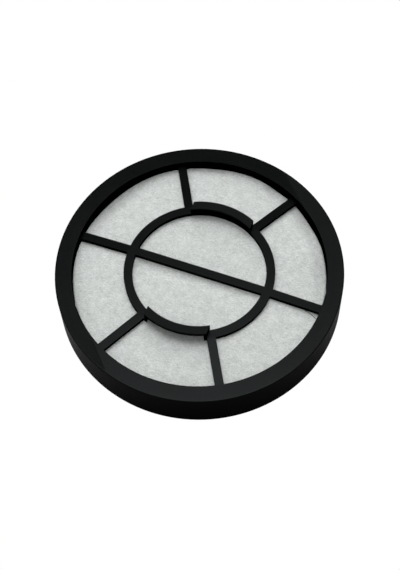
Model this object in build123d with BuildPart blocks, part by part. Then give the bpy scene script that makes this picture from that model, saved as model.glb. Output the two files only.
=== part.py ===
"""Round vacuum cleaner filter: a moulded plastic frame with a recessed grille over a disc of white felt.

The axis of the rim is Z and the rim stands on Z = 0, with the grille side up. The full bar of the grille runs
along X, and the two raised hooks on the inner ring lie across +Y and -Y. Millimetres throughout.
"""
from build123d import *

import os
from math import acos, cos, degrees, radians, sin

# Rim: an upside-down channel of a tall skirt, a wide top face and a shorter collar inside it
rim_diameter = 130.0
rim_height = 20.3
rim_face_width = 7.4
skirt_wall = 2.0
collar_wall = 1.8
rim_top_thickness = 2.2
rim_edge_round = 0.5
foot_edge_bevel = 0.4

# Ramps: from each crease to the next, half a turn on, the rim's top face tilts inwards more and more
ramp_start_drop = 0.04
ramp_end_drop = 0.55
ramp_margin = 0.15
ramp_sections = 13
ramp_cutter_height = 2.0
ramp_overlap_angle = 4.0
crease_direction = 224.0
crease_setback = 0.7

# Grille: one full bar, four spokes and an inner ring, a shallow dome below the top face of the rim
grille_drop = 2.15
grille_fall = 1.0
grille_thickness = 2.1
bar_width = 3.9
ring_outer_diameter = 68.4
ring_width = 3.9
spoke_angles = (60.55, 118.3, 240.85, 299.0)
spoke_root_round = 1.0

# Hooks: two raised arcs of the inner ring, each a leaning wall with a lip over an opening in the ring
hook_height = 4.25
hook_length = 29.0
far_hook_offset = 0.65
near_hook_offset = 0.15
hook_lean = 0.5
hook_top_fall = 0.15
hook_wall = 1.5
hook_lip_thickness = 1.4
hook_end_wall = 1.0
hook_edge_bevel = 0.3

# Felt: a disc that lies against the domed underside of the grille, inside the collar
felt_thickness = 6.0
felt_clearance = 0.2
felt_edge_bevel = 0.8
collar_overhang = 1.5

# Places worked out from the sizes above
rim_radius = rim_diameter / 2
collar_radius = rim_radius - rim_face_width
collar_outer_radius = collar_radius + collar_wall
grille_top = rim_height - grille_drop
grille_bottom = grille_top - grille_thickness
felt_bottom = grille_bottom - felt_thickness
collar_bottom = felt_bottom - collar_overhang
ring_outer_radius = ring_outer_diameter / 2
ring_inner_radius = ring_outer_radius - ring_width
hook_top = grille_top + hook_height
hook_lip_bottom = hook_top - hook_lip_thickness
hook_places = ((far_hook_offset, ring_outer_radius), (near_hook_offset, -ring_outer_radius))
spoke_inner_end = ring_outer_radius - ring_width / 2
spoke_outer_end = collar_radius + collar_wall / 2
spoke_length = spoke_outer_end - spoke_inner_end
spoke_middle = (spoke_outer_end + spoke_inner_end) / 2
dome_slope = grille_fall / (collar_radius - ring_outer_radius)
dome_fall = dome_slope * (collar_outer_radius - ring_outer_radius)
felt_radius = collar_radius - felt_clearance
felt_fall = dome_slope * (felt_radius - ring_outer_radius)
ramp_outer_radius = rim_radius - rim_edge_round - ramp_margin
ramp_inner_radius = collar_radius - ramp_cutter_height
ramp_overrun = (ramp_outer_radius - ramp_inner_radius) / rim_face_width
crease_distance = collar_radius - crease_setback
ramp_sweep = 180 + degrees(acos(crease_distance / ramp_outer_radius)) + ramp_overlap_angle

os.makedirs("parts", exist_ok=True)


# One ramp of the rim's top face, as the wedge that is cut away
with BuildPart() as ramp_cutter:
    for step in range(ramp_sections):
        share = step / (ramp_sections - 1)
        angle = radians(crease_direction + ramp_sweep * share)
        drop = (ramp_start_drop + (ramp_end_drop - ramp_start_drop) * share) * ramp_overrun
        radial_plane = Plane(
            origin=(0, 0, rim_height),
            x_dir=(cos(angle), sin(angle), 0),
            z_dir=(sin(angle), -cos(angle), 0),
        )
        with BuildSketch(radial_plane):
            with BuildLine():
                Polyline(
                    (ramp_outer_radius, 0),
                    (ramp_outer_radius, ramp_cutter_height),
                    (ramp_inner_radius, ramp_cutter_height),
                    (ramp_inner_radius, -drop),
                    close=True,
                )
            make_face()
    loft()
    # The wedge is kept from one crease to the other: each crease is a straight line that just misses the bore
    crease_plane = Plane(
        origin=(0, 0, rim_height - ramp_cutter_height),
        x_dir=(cos(radians(crease_direction)), sin(radians(crease_direction)), 0),
        z_dir=(0, 0, 1),
    )
    with BuildSketch(crease_plane):
        with BuildLine():
            Polyline(
                (crease_distance, rim_diameter),
                (-rim_diameter, rim_diameter),
                (-rim_diameter, -rim_diameter),
                (-crease_distance, -rim_diameter),
                (-crease_distance, 0),
                (crease_distance, 0),
                close=True,
            )
        make_face()
    extrude(amount=2 * ramp_cutter_height, mode=Mode.INTERSECT)


# The grille: ring, bar and spokes in outline, which flare where they run into the collar
with BuildPart() as grille:
    with BuildSketch(Plane.XY.offset(grille_bottom - dome_fall)) as grille_outline:
        Circle(collar_outer_radius)
        Circle(collar_radius, mode=Mode.SUBTRACT)
        Rectangle(2 * spoke_outer_end, bar_width)
        for spoke_angle in spoke_angles:
            with PolarLocations(spoke_middle, 1, start_angle=spoke_angle):
                Rectangle(spoke_length, bar_width)
        corners = grille_outline.vertices().filter_by(lambda corner: corner.center().length > spoke_middle)
        spoke_roots = corners.filter_by(lambda corner: corner.center().length < spoke_outer_end)
        fillet(spoke_roots, spoke_root_round)
        Circle(ring_outer_radius)
        Circle(ring_inner_radius, mode=Mode.SUBTRACT)
        Rectangle(2 * ring_outer_radius, bar_width)
    extrude(amount=grille_thickness + dome_fall)
    # What is kept of it lies in a shallow dome, flat as far as the ring
    with BuildSketch(Plane.XZ):
        with BuildLine():
            Polyline(
                (0, grille_top),
                (ring_outer_radius, grille_top),
                (collar_outer_radius, grille_top - dome_fall),
                (collar_outer_radius, grille_bottom - dome_fall),
                (ring_outer_radius, grille_bottom),
                (0, grille_bottom),
                close=True,
            )
        make_face()
    revolve(axis=Axis.Z, mode=Mode.INTERSECT)


# The hooks: two stretches of the ring, raised between cuts that run along Y
with BuildPart() as hooks:
    with BuildSketch(Plane.XY.offset(grille_bottom)):
        with Locations(*hook_places):
            Rectangle(hook_length, ring_outer_radius)
    extrude(amount=hook_top - grille_bottom)
    # What is kept of them lies within the ring, with an inner wall that leans and a top that falls inwards
    with BuildSketch(Plane.XZ) as hook_section:
        with BuildLine():
            Polyline(
                (ring_inner_radius, grille_bottom),
                (ring_outer_radius, grille_bottom),
                (ring_outer_radius, hook_top),
                (ring_inner_radius - hook_lean, hook_top - hook_top_fall),
                close=True,
            )
        make_face()
        chamfer(hook_section.vertices().sort_by(Axis.Y)[-2:], hook_edge_bevel)
    revolve(axis=Axis.Z, mode=Mode.INTERSECT)


# The frame, one plastic moulding
with BuildPart() as grille_frame:
    # Rim section, turned about the axis
    with BuildSketch(Plane.XZ) as rim_section:
        with BuildLine():
            Polyline(
                (rim_radius, 0),
                (rim_radius, rim_height),
                (collar_radius, rim_height),
                (collar_radius, collar_bottom),
                (collar_outer_radius, collar_bottom),
                (collar_outer_radius, rim_height - rim_top_thickness),
                (rim_radius - skirt_wall, rim_height - rim_top_thickness),
                (rim_radius - skirt_wall, 0),
                close=True,
            )
        make_face()
        chamfer(rim_section.vertices().group_by(Axis.X)[-1].sort_by(Axis.Y)[0], foot_edge_bevel)
        fillet(rim_section.vertices().group_by(Axis.X)[-1].sort_by(Axis.Y)[-1], rim_edge_round)
    revolve(axis=Axis.Z)

    # The two ramps of the top face, half a turn apart
    add(ramp_cutter.part, mode=Mode.SUBTRACT)
    add(ramp_cutter.part, rotation=(0, 0, 180), mode=Mode.SUBTRACT)
    add(grille.part)

    # The ring is open under the lip of each hook, so that the lip overhangs the felt
    add(hooks.part)
    with BuildSketch(Plane.XY.offset(grille_bottom)):
        with Locations(*hook_places):
            Rectangle(hook_length - 2 * hook_end_wall, ring_outer_radius)
        Circle(ring_outer_radius, mode=Mode.INTERSECT)
        Circle(ring_inner_radius + hook_wall, mode=Mode.SUBTRACT)
    extrude(amount=hook_lip_bottom - grille_bottom, mode=Mode.SUBTRACT)


# The felt, a disc with a domed upper side and eased edges
with BuildPart() as filter_felt:
    with BuildSketch(Plane.XZ) as felt_section:
        with BuildLine():
            Polyline(
                (0, felt_bottom),
                (felt_radius, felt_bottom),
                (felt_radius, grille_bottom - felt_fall),
                (ring_outer_radius, grille_bottom),
                (0, grille_bottom),
                close=True,
            )
        make_face()
        chamfer(felt_section.vertices().group_by(Axis.X)[-1], felt_edge_bevel)
    revolve(axis=Axis.Z)


grille_frame.part.label = "grille_frame"
export_step(grille_frame.part, "parts/grille_frame.step")
filter_felt.part.label = "filter_felt"
export_step(filter_felt.part, "parts/filter_felt.step")

for piece in (grille_frame.part, filter_felt.part):
    size = piece.bounding_box().size
    print(f"{piece.label}: {size.X:.2f} x {size.Y:.2f} x {size.Z:.2f} mm, {piece.volume / 1000:.2f} cm3")
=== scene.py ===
# %% [markdown]
# # A round vacuum cleaner filter
# The filter is two pieces: a black plastic moulding with a grille, and a disc of white felt behind it. The
# moulding comes finished from the CAD model, so this lesson only gives it a surface. The felt is soft and
# uneven, which CAD does badly, so it is modelled here and takes the place of the plain CAD disc.

# %% Load the frame
from math import atan2, cos, degrees, exp, radians, sin, tau

import bmesh
import bpy
from mathutils import Matrix, Vector, noise
from mathutils.bvhtree import BVHTree


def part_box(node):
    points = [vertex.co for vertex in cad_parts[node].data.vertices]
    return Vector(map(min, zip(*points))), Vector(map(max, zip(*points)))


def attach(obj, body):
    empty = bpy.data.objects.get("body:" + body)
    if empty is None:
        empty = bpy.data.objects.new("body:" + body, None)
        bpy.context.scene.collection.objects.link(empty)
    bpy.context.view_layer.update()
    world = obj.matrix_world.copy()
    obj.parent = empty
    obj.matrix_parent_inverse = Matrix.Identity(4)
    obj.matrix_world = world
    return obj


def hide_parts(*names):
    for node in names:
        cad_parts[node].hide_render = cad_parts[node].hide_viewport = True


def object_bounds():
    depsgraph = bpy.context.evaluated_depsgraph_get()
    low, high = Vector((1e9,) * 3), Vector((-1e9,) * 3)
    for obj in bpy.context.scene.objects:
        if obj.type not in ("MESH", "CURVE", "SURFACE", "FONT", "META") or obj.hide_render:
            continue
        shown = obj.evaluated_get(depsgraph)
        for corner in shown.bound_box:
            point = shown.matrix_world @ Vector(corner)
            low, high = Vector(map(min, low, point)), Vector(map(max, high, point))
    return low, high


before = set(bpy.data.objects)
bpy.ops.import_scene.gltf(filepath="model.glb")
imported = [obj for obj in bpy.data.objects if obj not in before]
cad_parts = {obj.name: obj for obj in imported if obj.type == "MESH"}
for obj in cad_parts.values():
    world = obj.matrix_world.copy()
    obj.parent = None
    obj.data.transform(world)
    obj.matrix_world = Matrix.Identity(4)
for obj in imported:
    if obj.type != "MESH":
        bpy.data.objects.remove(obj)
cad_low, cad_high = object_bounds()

mm = 0.001
weld_distance = 0.001 * mm
rim_share = 0.9  # beyond this share of the radius, a point belongs to the rim

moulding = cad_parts["grille_frame"]
felt_low, felt_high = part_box("filter_felt")
felt_radius = felt_high.x
rim_radius = cad_high.x
rim_top = max(v.co.z for v in moulding.data.vertices if v.co.xy.length > rim_share * rim_radius)
print(f"rim {2 * rim_radius / mm:.1f} mm across and {rim_top / mm:.1f} mm high")
print(f"felt {2 * felt_radius / mm:.1f} mm across and {(felt_high.z - felt_low.z) / mm:.1f} mm thick")

# %% [markdown]
# ## The camera
# A photograph of a round thing tells a lot about its camera: each circle shows as an ellipse, and the far side
# is drawn smaller than the near one. Those ellipses give the height of the camera, its distance and its lens.
# The camera looks down steeply, is turned by a quarter of a right angle round the filter, and is held a little
# askew.

# %% Place the camera
view_azimuth = radians(22.73)
view_elevation = radians(61.71)
view_roll = radians(2.93)
view_distance = 544.0 * mm
view_lens = 76.49
aim_below_rim = 7.59 * mm

toward_camera = Vector(
    (
        sin(view_azimuth) * cos(view_elevation),
        -cos(view_azimuth) * cos(view_elevation),
        sin(view_elevation),
    )
)
level_right = Vector((cos(view_azimuth), sin(view_azimuth), 0))
level_up = toward_camera.cross(level_right)
camera_right = level_right * cos(view_roll) - level_up * sin(view_roll)
camera_up = level_right * sin(view_roll) + level_up * cos(view_roll)

camera = bpy.data.objects.new("camera", bpy.data.cameras.new("camera"))
bpy.context.scene.collection.objects.link(camera)
camera.data.lens = view_lens
aim = Vector((0, 0, rim_top)) - level_up * aim_below_rim
camera_turn = Matrix((camera_right, camera_up, toward_camera)).transposed().to_4x4()
camera.matrix_world = Matrix.Translation(aim + toward_camera * view_distance) @ camera_turn
bpy.context.scene.camera = camera
bpy.context.scene.view_settings.view_transform = "Standard"
print(f"camera at {[round(c, 4) for c in camera.location]}")

# %% [markdown]
# ## Small helpers for shader nodes
# A material is a graph of nodes. Four helpers keep each graph short. They add a node and set its inputs by name,
# open a new material with its Principled shader ready, open a new node group, and place a group in a material.


# %% Node helpers
def add_node(tree, kind, inputs=None, **settings):
    """Adds a shader node, sets its properties and input values, and links inputs that are given as sockets."""
    made = tree.nodes.new(kind)
    for name, value in settings.items():
        setattr(made, name, value)
    for name, value in (inputs or {}).items():
        if isinstance(value, bpy.types.NodeSocket):
            tree.links.new(value, made.inputs[name])
        else:
            made.inputs[name].default_value = value
    return made


def new_material(name):
    """A material with nothing but a Principled shader, and that shader."""
    made = bpy.data.materials.new(name)
    made.use_nodes = True
    made.node_tree.nodes.clear()
    shader = add_node(made.node_tree, "ShaderNodeBsdfPrincipled")
    add_node(made.node_tree, "ShaderNodeOutputMaterial", {"Surface": shader.outputs["BSDF"]})
    return made, shader


def new_group(name, inputs, output):
    """An empty shader node group with named float inputs and one float output, and its two end nodes."""
    made = bpy.data.node_groups.new(name, "ShaderNodeTree")
    for label, value in inputs.items():
        socket = made.interface.new_socket(label, in_out="INPUT", socket_type="NodeSocketFloat")
        socket.default_value = value
    made.interface.new_socket(output, in_out="OUTPUT", socket_type="NodeSocketFloat")
    return made, made.nodes.new("NodeGroupInput"), made.nodes.new("NodeGroupOutput")


def add_group(tree, group, **inputs):
    """Places a node group in a material with its own values."""
    made = tree.nodes.new("ShaderNodeGroup")
    made.node_tree = group
    for name, value in inputs.items():
        made.inputs[name].default_value = value
    return made


# %% [markdown]
# ## The floor
# The filter lies on plain white ground. To the camera the floor simply glows white. Every other ray meets an
# ordinary grey floor, which takes the shadow of the filter and throws little light back at its dark walls.

# %% Lay the floor
floor_size = 3.0
floor_depth = 0.2 * mm
floor_grey = (0.45, 0.45, 0.45, 1)

floor_mesh = bmesh.new()
bmesh.ops.create_grid(floor_mesh, x_segments=1, y_segments=1, size=floor_size)
bmesh.ops.translate(floor_mesh, verts=floor_mesh.verts, vec=(0, 0, -floor_depth))
floor = bpy.data.objects.new("floor", bpy.data.meshes.new("floor"))
floor_mesh.to_mesh(floor.data)
floor_mesh.free()
bpy.context.scene.collection.objects.link(floor)

floor_paint = bpy.data.materials.new("floor_paint")
floor_paint.use_nodes = True
floor_tree = floor_paint.node_tree
floor_tree.nodes.clear()
shaded = add_node(floor_tree, "ShaderNodeBsdfDiffuse", {"Color": floor_grey})
white = add_node(floor_tree, "ShaderNodeEmission", {"Strength": 1.0})
rays = add_node(floor_tree, "ShaderNodeLightPath")
seen = add_node(
    floor_tree,
    "ShaderNodeMixShader",
    {0: rays.outputs["Is Camera Ray"], 1: shaded.outputs[0], 2: white.outputs[0]},
)
add_node(floor_tree, "ShaderNodeOutputMaterial", {"Surface": seen.outputs[0]})
floor.data.materials.append(floor_paint)
print("floor", floor_size, "m")

# %% [markdown]
# ## The light
# Black plastic shows little but what it mirrors. One panel hangs nearly overhead and is the only one that the
# plastic mirrors: the rim is lighter where it catches the edge of that panel, on the near side. The other panels
# light the felt and make its shadows. They are a broad key on the far side, a soft panel high up, and weak ones
# at the left, at the right and on the near side. The sky is white to the camera and dim to everything else.

# %% World
sky_for_light = 0.064
sky_for_camera = 1.0

world = bpy.data.worlds.new("studio")
bpy.context.scene.world = world
world.use_nodes = True
sky_tree = world.node_tree
sky_tree.nodes.clear()
sky_rays = add_node(sky_tree, "ShaderNodeLightPath")
sky_white = add_node(
    sky_tree,
    "ShaderNodeMath",
    {0: sky_rays.outputs["Is Camera Ray"], 1: sky_rays.outputs["Is Transmission Ray"]},
    operation="MAXIMUM",
)
sky_level = add_node(
    sky_tree,
    "ShaderNodeMapRange",
    {"Value": sky_white.outputs[0], "To Min": sky_for_light, "To Max": sky_for_camera},
)
sky = add_node(
    sky_tree,
    "ShaderNodeBackground",
    {"Color": (1, 1, 1, 1), "Strength": sky_level.outputs[0]},
)
add_node(sky_tree, "ShaderNodeOutputWorld", {"Surface": sky.outputs[0]})
print(f"sky {sky_for_light} for light and {sky_for_camera} for the camera")


# %% Light panels
def light_panel(name, turn, height, distance, size, power, mirrored):
    """A square soft light, turned about the axis from the far side, at an angle above the floor."""
    around = view_azimuth + radians(turn)
    flat = Vector((-sin(around), cos(around), 0))
    place = flat * distance * cos(radians(height)) + Vector((0, 0, distance * sin(radians(height))))
    panel = bpy.data.objects.new(name, bpy.data.lights.new(name, "AREA"))
    panel.data.size = size
    panel.data.energy = power
    panel.visible_glossy = mirrored
    panel.location = place
    panel.rotation_mode = "QUATERNION"
    panel.rotation_quaternion = (-place).to_track_quat("-Z", "Y")
    bpy.context.scene.collection.objects.link(panel)
    print(f"{name}: {power} W, {height} degrees up")


light_panel("top_panel", turn=17, height=83.5, distance=1.0, size=0.61, power=0.94, mirrored=True)
light_panel("key_panel", turn=12, height=46, distance=2.2, size=2.6, power=37.5, mirrored=False)
light_panel("soft_panel", turn=10, height=72, distance=2.2, size=1.4, power=9.5, mirrored=False)
light_panel("left_panel", turn=75, height=40, distance=2.2, size=1.2, power=3.0, mirrored=False)
light_panel("right_panel", turn=-75, height=40, distance=2.2, size=1.2, power=3.0, mirrored=False)
light_panel("near_panel", turn=180, height=58, distance=2.2, size=1.2, power=6.0, mirrored=False)

# %% [markdown]
# ## Soft clouds and fine grain
# Few real surfaces are even. Plastic has patches that shine more and felt has patches with more fibres, so both
# use one group of nodes that makes soft clouds between two values. A second group makes fine grain for the Bump
# node.

# %% Groups for clouds and grain
cloud_contrast = (0.3, 0.7)

clouds, clouds_in, clouds_out = new_group("soft_clouds", {"Scale": 100.0, "Low": 0.0, "High": 1.0}, "Value")
clouds_place = add_node(clouds, "ShaderNodeTexCoord")
clouds_noise = add_node(
    clouds,
    "ShaderNodeTexNoise",
    {
        "Vector": clouds_place.outputs["Object"],
        "Scale": clouds_in.outputs["Scale"],
        "Detail": 4.0,
        "Roughness": 0.55,
    },
)
clouds_range = add_node(
    clouds,
    "ShaderNodeMapRange",
    {
        "Value": clouds_noise.outputs[0],
        "From Min": cloud_contrast[0],
        "From Max": cloud_contrast[1],
        "To Min": clouds_in.outputs["Low"],
        "To Max": clouds_in.outputs["High"],
    },
)
clouds.links.new(clouds_range.outputs[0], clouds_out.inputs["Value"])

grain, grain_in, grain_out = new_group("fine_grain", {"Scale": 2000.0}, "Height")
grain_place = add_node(grain, "ShaderNodeTexCoord")
grain_noise = add_node(
    grain,
    "ShaderNodeTexNoise",
    {
        "Vector": grain_place.outputs["Object"],
        "Scale": grain_in.outputs["Scale"],
        "Detail": 3.0,
        "Roughness": 0.6,
    },
)
grain.links.new(grain_noise.outputs[0], grain_out.inputs["Height"])
print("node groups:", clouds.name, grain.name)

# %% [markdown]
# ## Tangled fibres
# Felt is fibres that lie every way. Noise that is squeezed in one direction looks like fibres that lie along the
# other. Three such layers, each turned to its own direction, are laid over each other by taking the greatest.

# %% Group for fibres
fibre_directions = (10, 75, 130)
fibre_thinness = 3.0
fibre_contrast = (0.45, 0.76)

fibres, fibres_in, fibres_out = new_group("felt_fibres", {"Scale": 900.0}, "Value")
fibres_place = add_node(fibres, "ShaderNodeTexCoord")
fibre_layers = []
for angle in fibre_directions:
    lay = add_node(
        fibres,
        "ShaderNodeMapping",
        {
            "Vector": fibres_place.outputs["Object"],
            "Rotation": (0, 0, radians(angle)),
            "Scale": (1, fibre_thinness, 1),
        },
    )
    layer = add_node(
        fibres,
        "ShaderNodeTexNoise",
        {"Vector": lay.outputs[0], "Scale": fibres_in.outputs["Scale"], "Detail": 2.0, "Distortion": 1.2},
    )
    fibre_layers.append(layer.outputs[0])
pair = add_node(fibres, "ShaderNodeMath", {0: fibre_layers[0], 1: fibre_layers[1]}, operation="MAXIMUM")
tangle = add_node(fibres, "ShaderNodeMath", {0: pair.outputs[0], 1: fibre_layers[2]}, operation="MAXIMUM")
fibres_range = add_node(
    fibres,
    "ShaderNodeMapRange",
    {"Value": tangle.outputs[0], "From Min": fibre_contrast[0], "From Max": fibre_contrast[1]},
)
fibres.links.new(fibres_range.outputs[0], fibres_out.inputs["Value"])
print("node group:", fibres.name, "with", len(fibre_layers), "layers")

# %% [markdown]
# ## Black moulded plastic
# The frame is moulded in black polypropylene with a satin skin. A satin black shows almost no colour of its own:
# what is seen is the light that it reflects. The photograph shows lighter faces and nearly black walls, so the
# shine is set by place. How far a point is from the axis and how level its face is tell the rim, the grille, the
# outer wall and the inner walls apart. The faces of the grille are also a little rougher than the rim.

# %% Where the plastic is
rim_shine = 0.55
grille_shine = 0.51
outer_wall_shine = 0.009
inner_wall_shine = 0.0
rim_roughness = 0.23
grille_roughness = 0.29
rim_blend = 0.5 * mm
wall_inset = 1.5 * mm
wall_blend = 0.5 * mm
steep_level, flat_level = 0.3, 0.9

plastic, plastic_shader = new_material("black_moulded_plastic")
plastic_tree = plastic.node_tree
plastic_place = add_node(plastic_tree, "ShaderNodeTexCoord")
plastic_normal = add_node(plastic_tree, "ShaderNodeSeparateXYZ", {"Vector": plastic_place.outputs["Normal"]})
plastic_level = add_node(plastic_tree, "ShaderNodeMath", {0: plastic_normal.outputs["Z"]}, operation="ABSOLUTE")
plastic_flat = add_node(
    plastic_tree,
    "ShaderNodeVectorMath",
    {0: plastic_place.outputs["Object"], 1: (1, 1, 0)},
    operation="MULTIPLY",
)
plastic_radius = add_node(
    plastic_tree,
    "ShaderNodeVectorMath",
    {0: plastic_flat.outputs["Vector"]},
    operation="LENGTH",
)


def change_over(measure, start, end, before, after):
    """A value of the plastic that goes from one to another as a measure goes from start to end."""
    made = add_node(
        plastic_tree,
        "ShaderNodeMapRange",
        {"Value": measure, "From Min": start, "From Max": end, "To Min": before, "To Max": after},
    )
    return made.outputs["Result"]


radius = plastic_radius.outputs["Value"]
wall_start = rim_radius - wall_inset
wall_shine = change_over(radius, wall_start, wall_start + wall_blend, inner_wall_shine, outer_wall_shine)
face_shine = change_over(radius, felt_radius, felt_radius + rim_blend, grille_shine, rim_shine)
plastic_shine = change_over(plastic_level.outputs[0], steep_level, flat_level, wall_shine, face_shine)
plastic_tree.links.new(plastic_shine, plastic_shader.inputs["Specular IOR Level"])
base_roughness = change_over(radius, felt_radius, felt_radius + rim_blend, grille_roughness, rim_roughness)
print(f"shine {rim_shine} on the rim, {grille_shine} on the grille and {outer_wall_shine} on the outer wall")

# %% [markdown]
# ## The skin of the plastic
# Soft clouds vary the roughness and the colour a little, and a fine grain breaks up the reflection as the texture
# of a mould does. The shine has a faint cold tint, which the photograph shows on the near side of the rim.

# %% Finish the plastic
roughness_spread = 0.04
plastic_dark = (0.0004, 0.0005, 0.0005, 1)
plastic_light = (0.0008, 0.0009, 0.0009, 1)
shine_tint = (0.9, 0.99, 1.0, 1)

plastic_shader.inputs["Specular Tint"].default_value = shine_tint
plastic_clouds = add_group(plastic_tree, clouds, Scale=60.0, Low=0.0, High=roughness_spread)
plastic_gloss = add_node(
    plastic_tree,
    "ShaderNodeMath",
    {0: base_roughness, 1: plastic_clouds.outputs["Value"]},
    operation="ADD",
)
plastic_tree.links.new(plastic_gloss.outputs[0], plastic_shader.inputs["Roughness"])
plastic_patches = add_group(plastic_tree, clouds, Scale=150.0, Low=0.0, High=1.0)
plastic_colour = add_node(
    plastic_tree,
    "ShaderNodeMix",
    {"Factor": plastic_patches.outputs["Value"], "A": plastic_dark, "B": plastic_light},
    data_type="RGBA",
)
plastic_tree.links.new(plastic_colour.outputs["Result"], plastic_shader.inputs["Base Color"])
plastic_grain = add_group(plastic_tree, grain, Scale=2600.0)
plastic_bump = add_node(
    plastic_tree,
    "ShaderNodeBump",
    {"Height": plastic_grain.outputs["Height"], "Strength": 0.12, "Distance": 0.05 * mm},
)
plastic_tree.links.new(plastic_bump.outputs["Normal"], plastic_shader.inputs["Normal"])
moulding.data.materials.clear()
moulding.data.materials.append(plastic)
print("plastic on", moulding.name)

# %% [markdown]
# ## The felt
# The felt is a thick mat of loose fibres. It starts as a line: half of its section, with a flat upper side, an
# eased edge, an upright side and a flat back. The line is cut into short pieces, so that there are enough points
# to move later, and is spun about the axis.

# %% Spin the felt
felt_steps = 360
felt_edge = 0.3 * mm
upper_cuts = 110
edge_cuts = 3
side_cuts = 5
back_cuts = 36

felt_mesh = bmesh.new()
section = [
    felt_mesh.verts.new(place)
    for place in (
        (0, 0, felt_high.z),
        (felt_radius - felt_edge, 0, felt_high.z),
        (felt_radius, 0, felt_high.z - felt_edge),
        (felt_radius, 0, felt_low.z + felt_edge),
        (felt_radius - felt_edge, 0, felt_low.z),
        (0, 0, felt_low.z),
    )
]
section_lines = [felt_mesh.edges.new(ends) for ends in zip(section, section[1:])]
for line, cuts in zip(section_lines, (upper_cuts, edge_cuts, side_cuts, edge_cuts, back_cuts)):
    bmesh.ops.bisect_edges(felt_mesh, edges=[line], cuts=cuts)
bmesh.ops.spin(
    felt_mesh,
    geom=felt_mesh.verts[:] + felt_mesh.edges[:],
    axis=(0, 0, 1),
    cent=(0, 0, 0),
    angle=tau,
    steps=felt_steps,
    use_merge=True,
)
bmesh.ops.remove_doubles(felt_mesh, verts=felt_mesh.verts, dist=weld_distance)
bmesh.ops.recalc_face_normals(felt_mesh, faces=felt_mesh.faces)
print("felt points:", len(felt_mesh.verts))

# %% [markdown]
# ## Measuring from the frame
# The felt lies against the underside of the grille, which is a shallow dome. Two search trees answer the questions
# that its shape depends on: how far a point is from the nearest bar, and how high the plain CAD disc is there.

# %% Distances and angles
bar_test_height = 0.5 * mm
cad_edge = 0.9 * mm
sky_height = 1.0


def surface_of(piece):
    """A search tree of a piece's faces."""
    return BVHTree.FromPolygons([v.co for v in piece.data.vertices], [p.vertices for p in piece.data.polygons])


frame_surface = surface_of(moulding)
felt_surface = surface_of(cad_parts["filter_felt"])


def smooth_step(share):
    """Eases from 0 to 1."""
    share = min(max(share, 0), 1)
    return share * share * (3 - 2 * share)


def distance_to_bars(place):
    """How far a point of the felt is from the nearest bar or wall in plan, and zero under a bar."""
    level = Vector((place.x, place.y, felt_high.z + bar_test_height))
    nearest, normal, _, distance = frame_surface.find_nearest(level)
    return distance if (level - nearest).dot(normal) > 0 else 0


def dome_at(place):
    """The height of the plain CAD disc at a point, kept clear of its bevelled edge."""
    inner = place.xy.normalized() * min(place.xy.length, felt_radius - cad_edge)
    hit, _, _, _ = felt_surface.ray_cast(Vector((inner.x, inner.y, sky_height)), Vector((0, 0, -1)))
    return hit.z


def turn_between(place, direction):
    """The angle in degrees, from -180 to 180, from a direction to that of a point as seen from the axis."""
    return (degrees(atan2(place.y, place.x)) - direction + 180) % 360 - 180


dome_drop = dome_at(Vector((0, 0, 0))) - dome_at(Vector((felt_radius, 0, 0)))
print(f"the dome falls by {dome_drop / mm:.2f} mm towards the wall")

# %% [markdown]
# ## Sags and a curled edge
# Where nothing holds the felt it sags on the way to the wall, more in some directions than in others, and it may
# be flat again on a narrow ledge beside the wall. The wall turns its edge up a little, apart from one loose
# stretch. The directions are read from the shadows in the photograph.

# %% Sags and curl
# Each sag: direction and spread in degrees, with the depth, the reach in from the wall and the width of the ledge
sags = [
    {"direction": 158, "depth": 1.7 * mm, "spread": 18, "reach": 11.5 * mm, "ledge": 2.5 * mm},
    {"direction": 104, "depth": 0.7 * mm, "spread": 11, "reach": 5.0 * mm, "ledge": 0.5 * mm},
    {"direction": 47, "depth": 2.0 * mm, "spread": 11, "reach": 8.0 * mm, "ledge": 0.5 * mm},
    {"direction": 70, "depth": 1.2 * mm, "spread": 7, "reach": 8.0 * mm, "ledge": 1.5 * mm},
    {"direction": 20, "depth": 1.6 * mm, "spread": 14, "reach": 7.0 * mm, "ledge": 0.0 * mm},
    {"direction": 218, "depth": 0.7 * mm, "spread": 16, "reach": 7.0 * mm, "ledge": 0.0 * mm},
]
curl = 0.35 * mm
curl_reach = 2.0 * mm
loose_direction = 22
loose_spread = 30


def sag_at(place):
    """How far a point of the felt hangs below the grille on the way to the wall."""
    inset = felt_radius - place.xy.length
    depth = 0
    for sag in sags:
        share = smooth_step((sag["reach"] - inset) / (sag["reach"] - sag["ledge"]))
        turn = turn_between(place, sag["direction"])
        depth += sag["depth"] * share * exp(-((turn / sag["spread"]) ** 2))
    return depth


def curl_at(place):
    """How far the edge of the felt is turned up by the wall, apart from a stretch where it lies loose."""
    inset = felt_radius - place.xy.length
    held = smooth_step((abs(turn_between(place, loose_direction)) - loose_spread) / loose_spread)
    return curl * held * smooth_step(1 - inset / curl_reach)


print(len(sags), "sags, the deepest", round(max(sag["depth"] for sag in sags) / mm, 2), "mm")

# %% [markdown]
# ## Humps and hollows
# The photograph also shows a few wide humps and hollows in the windows, and a trough along the near side of the
# full bar inside the ring. They are smooth bells, added up.

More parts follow.
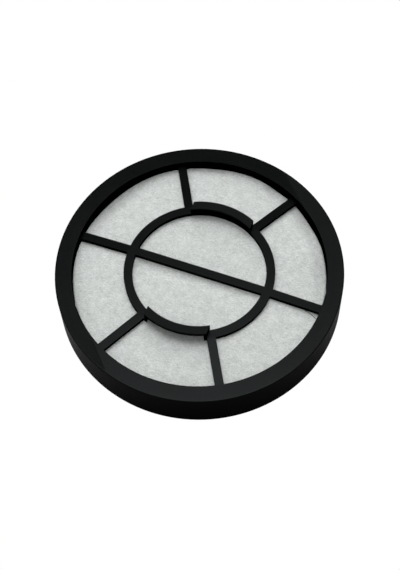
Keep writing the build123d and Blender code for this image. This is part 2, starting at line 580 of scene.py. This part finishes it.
# %% Humps, hollows and the trough
# Each hump: where its middle is, its height, which is below zero for a hollow, and its spread
humps = [
    {"radius": 36.5 * mm, "direction": 331, "height": 0.8 * mm, "spread": 7.0 * mm},
    {"radius": 28.5 * mm, "direction": 24, "height": -0.6 * mm, "spread": 6.0 * mm},
    {"radius": 52.0 * mm, "direction": -5, "height": -0.5 * mm, "spread": 6.0 * mm},
    {"radius": 57.0 * mm, "direction": 330, "height": 1.2 * mm, "spread": 13.0 * mm},
    {"radius": 57.0 * mm, "direction": 277, "height": 0.8 * mm, "spread": 12.0 * mm},
    {"radius": 48.0 * mm, "direction": 30, "height": 0.5 * mm, "spread": 8.0 * mm},
    {"radius": 26.0 * mm, "direction": 200, "height": -0.5 * mm, "spread": 6.0 * mm},
    {"radius": 25.0 * mm, "direction": 130, "height": -0.4 * mm, "spread": 6.0 * mm},
]
trough_depth = 0.7 * mm
trough_offset = 4.5 * mm
trough_spread = 4.0 * mm
trough_radius = 29.0 * mm


def hump_at(place):
    """How far the felt is raised at a point by the humps, the hollows and the trough."""
    rise = 0
    for hump in humps:
        angle = radians(hump["direction"])
        middle = Vector((cos(angle), sin(angle))) * hump["radius"]
        rise += hump["height"] * exp(-(((place.xy - middle).length / hump["spread"]) ** 2))
    if place.xy.length < trough_radius:
        rise -= trough_depth * exp(-(((place.y + trough_offset) / trough_spread) ** 2))
    return rise


print(len(humps), "humps and hollows, and one trough", round(trough_depth / mm, 2), "mm deep")

# %% [markdown]
# ## Moving the points
# Now each point of the upper side gets its height: the dome, a swelling into the windows, the sags, the humps, and
# small lumps and fuzz from noise. All but the dome and the sags fade out towards a bar, because the bars hold the
# felt.
# The side of the mat follows the upper side, and its back gets a few lumps.

# %% Shape the felt
swell = 0.3 * mm
swell_reach = 7.0 * mm
lump_height = 0.12 * mm
lump_size = 4.0 * mm
lump_dimension, lump_step, lump_octaves = 1.0, 2.0, 3
fuzz_height = 0.06 * mm
fuzz_size = 1.1 * mm
hump_ease = 0.5 * mm
texture_ease = 1.0 * mm
side_low = felt_low.z + felt_edge
side_high = felt_high.z - felt_edge
back_limit = felt_low.z + 0.5 * felt_edge


def felt_height(place):
    """The height of the upper side of the felt at a point."""
    gap = distance_to_bars(place)
    height = dome_at(place) + swell * smooth_step(gap / swell_reach)
    height -= sag_at(place)
    height += (hump_at(place) + curl_at(place)) * smooth_step(gap / hump_ease)
    lumps = noise.fractal(place / lump_size, lump_dimension, lump_step, lump_octaves)
    fuzz = noise.noise(place / fuzz_size)
    return height + smooth_step(gap / texture_ease) * (lump_height * lumps + fuzz_height * fuzz)


def drop_at(place):
    """How far the upper side is moved at a point, which the eased edge outside it follows."""
    level = place.xy.normalized() * min(place.xy.length, felt_radius - felt_edge)
    return felt_height(Vector((level.x, level.y, felt_high.z))) - felt_high.z


for point in felt_mesh.verts:
    share = min((point.co.z - side_low) / (side_high - side_low), 1)
    if share > 0:
        point.co.z += share * drop_at(point.co)
    elif point.co.z < back_limit:
        point.co.z += lump_height * (0.5 + 0.5 * noise.noise(point.co / lump_size))

felt = bpy.data.objects.new("felt_mat", bpy.data.meshes.new("felt_mat"))
felt_mesh.to_mesh(felt.data)
felt_mesh.free()
for face in felt.data.polygons:
    face.use_smooth = True
bpy.context.scene.collection.objects.link(felt)
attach(felt, "root")
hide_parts("filter_felt")
print("felt faces:", len(felt.data.polygons))

# %% [markdown]
# ## The look of felt
# Felt has no shine. Its colour is a blend of soft patches and tangled fibres, from a grey between the fibres to
# nearly white on them, and a fine grain roughens it.

# %% Felt material
felt_dark = (0.50, 0.53, 0.51, 1)
felt_light = (0.95, 0.98, 0.96, 1)
fibre_share = 0.75

felt_cloth, felt_shader = new_material("white_felt")
felt_tree = felt_cloth.node_tree
felt_shader.inputs["Roughness"].default_value = 1.0
felt_shader.inputs["Specular IOR Level"].default_value = 0.1
felt_patches = add_group(felt_tree, clouds, Scale=330.0, Low=0.0, High=1.0)
felt_fibres = add_group(felt_tree, fibres, Scale=900.0)
felt_blend = add_node(
    felt_tree,
    "ShaderNodeMix",
    {"Factor": fibre_share, "A": felt_patches.outputs["Value"], "B": felt_fibres.outputs["Value"]},
)
felt_colour = add_node(
    felt_tree,
    "ShaderNodeMix",
    {"Factor": felt_blend.outputs["Result"], "A": felt_dark, "B": felt_light},
    data_type="RGBA",
)
felt_tree.links.new(felt_colour.outputs["Result"], felt_shader.inputs["Base Color"])
felt_grain = add_group(felt_tree, grain, Scale=1500.0)
felt_bump = add_node(
    felt_tree,
    "ShaderNodeBump",
    {"Height": felt_grain.outputs["Height"], "Strength": 0.5, "Distance": 0.2 * mm},
)
felt_tree.links.new(felt_bump.outputs["Normal"], felt_shader.inputs["Normal"])
felt.data.materials.append(felt_cloth)
print("felt material", felt_cloth.name)

# %% [markdown]
# ## A dark line
# A thin dark line lies on the felt beside the right end of the full bar. A smooth curve is drawn over the felt
# from a few points, and the curve's round bevel turns it into a thin tube.

# %% Lay the dark line
stray_radius = 0.13 * mm
stray_route = [(50.6, -2.15), (52.4, -2.2), (54.0, -2.9), (55.7, -3.65), (57.2, -4.6)]  # x and y in mm

stray_curve = bpy.data.curves.new("dark_line_route", "CURVE")
stray_curve.dimensions = "3D"
stray_curve.bevel_depth = stray_radius
stray_curve.bevel_resolution = 2
stray_curve.use_fill_caps = True
stray_line = stray_curve.splines.new("NURBS")
stray_line.points.add(len(stray_route) - 1)
for point, (x, y) in zip(stray_line.points, stray_route):
    above = Vector((x * mm, y * mm, felt_high.z))
    point.co = (above.x, above.y, felt_height(above) + stray_radius, 1)
stray_line.order_u = 3
stray_line.use_endpoint_u = True
drawn_line = bpy.data.objects.new("dark_line_route", stray_curve)
stray = bpy.data.objects.new("dark_line_tube", bpy.data.meshes.new_from_object(drawn_line))
bpy.data.objects.remove(drawn_line)

stray_mesh = bmesh.new()
stray_mesh.from_mesh(stray.data)
bmesh.ops.remove_doubles(stray_mesh, verts=stray_mesh.verts, dist=weld_distance)
bmesh.ops.recalc_face_normals(stray_mesh, faces=stray_mesh.faces)
stray_mesh.to_mesh(stray.data)
open_edges = sum(1 for edge in stray_mesh.edges if len(edge.link_faces) != 2)
stray_mesh.free()
bpy.context.scene.collection.objects.link(stray)
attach(stray, "root")
print("stray fibre faces:", len(stray.data.polygons), "open edges:", open_edges)

# %% Material of the dark line
# A near black colour for the thin tube that draws the dark line on the felt
stray_dark = (0.010, 0.010, 0.009, 1)
stray_light = (0.035, 0.034, 0.030, 1)

stray_paint, stray_shader = new_material("dark_line_paint")
stray_tree = stray_paint.node_tree
stray_shader.inputs["Roughness"].default_value = 0.7
stray_patches = add_group(stray_tree, clouds, Scale=800.0, Low=0.0, High=1.0)
stray_colour = add_node(
    stray_tree,
    "ShaderNodeMix",
    {"Factor": stray_patches.outputs["Value"], "A": stray_dark, "B": stray_light},
    data_type="RGBA",
)
stray_tree.links.new(stray_colour.outputs["Result"], stray_shader.inputs["Base Color"])
stray.data.materials.clear()
stray.data.materials.append(stray_paint)
print("fibre material", stray_paint.name)
